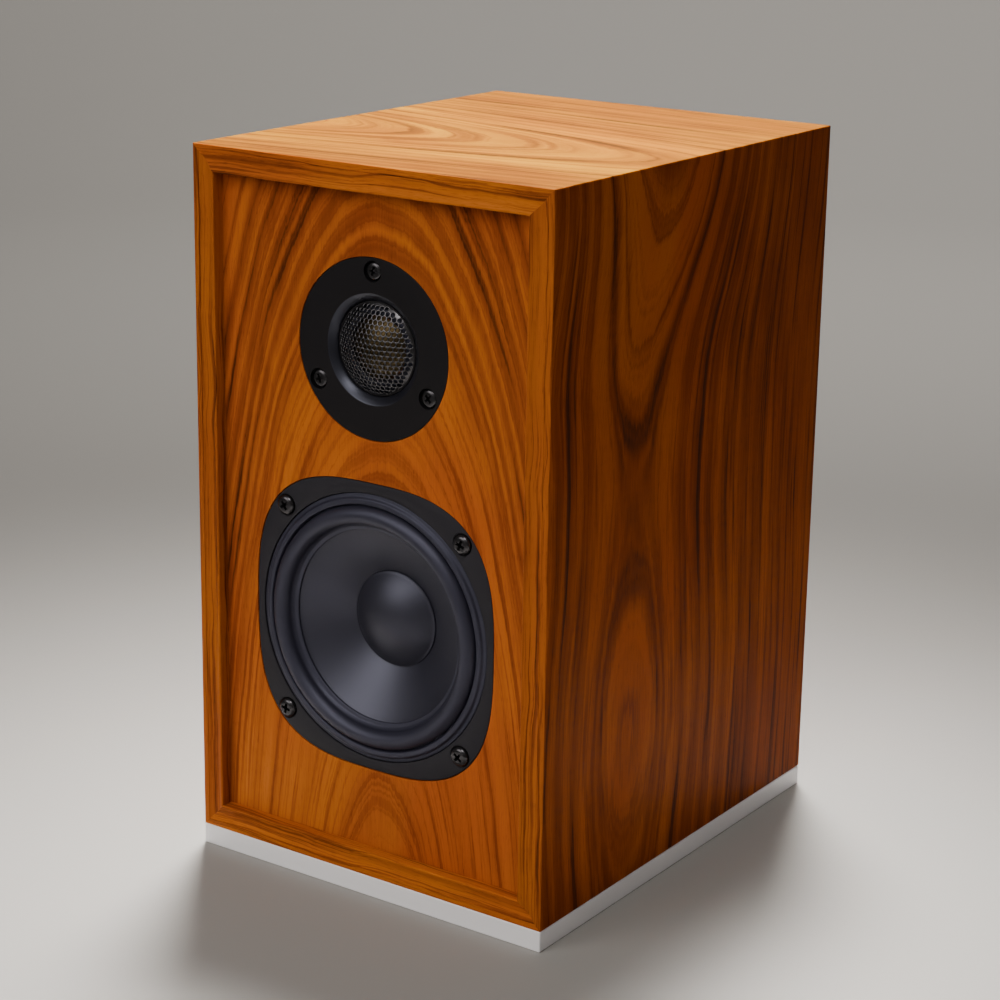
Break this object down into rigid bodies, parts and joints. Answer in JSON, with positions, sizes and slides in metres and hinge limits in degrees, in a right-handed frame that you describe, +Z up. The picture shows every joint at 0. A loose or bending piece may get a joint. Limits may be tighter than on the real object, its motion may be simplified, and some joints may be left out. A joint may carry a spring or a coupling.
{
  "type": "bookshelf speaker",
  "caption": "Two-way bookshelf loudspeaker: veneered cabinet with a framed, recessed baffle, mesh-covered dome tweeter, rounded-square woofer and metal base plate.",
  "frame": {"origin": "centre of the base plate's flat underside, where the speaker stands on a shelf or stand", "axes": "+Z up the cabinet's height; the front baffle and both drivers face -Y, the port and terminals face +Y; +X is to the right seen from the front"},
  "size_m": [0.178, 0.2383, 0.3093],
  "materials": {
    "veneer": "satin lacquered rosewood-type veneer with dark figure",
    "moulding": "satin lacquered solid wood",
    "plywood": "bare birch plywood",
    "base": "satin anodised",
    "bright_screw": "zinc plated",
    "faceplate": "matt black, fine texture",
    "gasket": "matt foam rubber",
    "grille_mesh": "glossy black lacquer on perforated steel",
    "dome": "champagne anodised",
    "surround": "satin moulded rubber",
    "coil": "varnished copper wire",
    "motor_steel": "black passivated steel",
    "magnet": "matt sintered ferrite",
    "black_screw": "glossy black oxide",
    "basket": "grey-black powder coat, fine grain",
    "cone": "satin black polypropylene",
    "spider": "resin-set woven cotton",
    "black_moulded": "fine matt",
    "gilt": "gold plated",
    "red_cap": "glossy translucent red",
    "black_cap": "glossy black",
    "board": "tempered hardboard",
    "film": "yellow film wrap",
    "foam": "open-cell grey foam"
  },
  "bodies": {
    "cabinet": {"cabinet_side_left": "veneer", "cabinet_side_right": "veneer", "cabinet_top": "veneer", "cabinet_bottom": "veneer", "front_baffle": "veneer", "rear_panel": "veneer", "frame_rail_top": "moulding", "frame_rail_bottom": "moulding", "frame_stile_left": "moulding", "frame_stile_right": "moulding", "internal_brace": "plywood", "base_plate": "base", "base_plate_screw_1": "bright_screw", "base_plate_screw_2": "bright_screw", "base_plate_screw_3": "bright_screw", "base_plate_screw_4": "bright_screw", "tweeter_faceplate": "faceplate", "tweeter_gasket": "gasket", "woofer_gasket": "gasket", "tweeter_mesh": "grille_mesh", "tweeter_surround": "surround", "woofer_surround": "surround", "woofer_inductor": "coil", "tweeter_inductor": "coil", "tweeter_top_plate": "motor_steel", "tweeter_yoke": "motor_steel", "woofer_top_plate": "motor_steel", "woofer_yoke": "motor_steel", "tweeter_magnet": "magnet", "woofer_magnet": "magnet", "tweeter_screw_1": "black_screw", "tweeter_screw_2": "black_screw", "tweeter_screw_3": "black_screw", "woofer_screw_1": "black_screw", "woofer_screw_2": "black_screw", "woofer_screw_3": "black_screw", "woofer_screw_4": "black_screw", "terminal_screw_1": "black_screw", "terminal_screw_2": "black_screw", "terminal_screw_3": "black_screw", "terminal_screw_4": "black_screw", "woofer_basket": "basket", "woofer_spider": "spider", "port_tube": "black_moulded", "terminal_plate": "black_moulded", "binding_post_stud_red": "gilt", "binding_post_stud_black": "gilt", "crossover_board": "board", "capacitor_large": "film", "capacitor_small": "film", "damping_foam": "foam"},
    "woofer_diaphragm": {"woofer_cone": "cone", "woofer_dust_cap": "cone", "woofer_voice_coil": "coil"},
    "tweeter_diaphragm": {"tweeter_dome": "dome", "tweeter_voice_coil": "coil"},
    "binding_post_washer_red": {"binding_post_washer_red": "gilt"},
    "binding_post_cap_red": {"binding_post_cap_red": "red_cap"},
    "binding_post_washer_black": {"binding_post_washer_black": "gilt"},
    "binding_post_cap_black": {"binding_post_cap_black": "black_cap"}
  },
  "joints": [
    {"name": "woofer_stroke", "type": "slide", "parent": "cabinet", "child": "woofer_diaphragm", "axis": [0, -1, 0], "range_m": [-0.004, 0.004], "stiffness_N_per_m": 1200, "deforming": ["woofer_surround", "woofer_spider"]},
    {"name": "tweeter_stroke", "type": "slide", "parent": "cabinet", "child": "tweeter_diaphragm", "axis": [0, -1, 0], "range_m": [-0.0005, 0.0005], "stiffness_N_per_m": 1500, "deforming": ["tweeter_surround"]},
    {"name": "red_post_travel", "type": "slide", "parent": "cabinet", "child": "binding_post_washer_red", "axis": [0, 1, 0], "range_m": [0, 0.004]},
    {"name": "red_post_turn", "type": "hinge", "parent": "binding_post_washer_red", "child": "binding_post_cap_red", "pos_m": [0.0095, 0.1093, 0.058], "axis": [0, 1, 0], "range_deg": [0, 1500]},
    {"name": "black_post_travel", "type": "slide", "parent": "cabinet", "child": "binding_post_washer_black", "axis": [0, 1, 0], "range_m": [0, 0.004]},
    {"name": "black_post_turn", "type": "hinge", "parent": "binding_post_washer_black", "child": "binding_post_cap_black", "pos_m": [-0.0095, 0.1093, 0.058], "axis": [0, 1, 0], "range_deg": [0, 1500]}
  ],
  "couplings": [
    {"joint": "red_post_turn", "follows": "red_post_travel", "rad_per_m": 6283.2},
    {"joint": "black_post_turn", "follows": "black_post_travel", "rad_per_m": 6283.2}
  ]
}
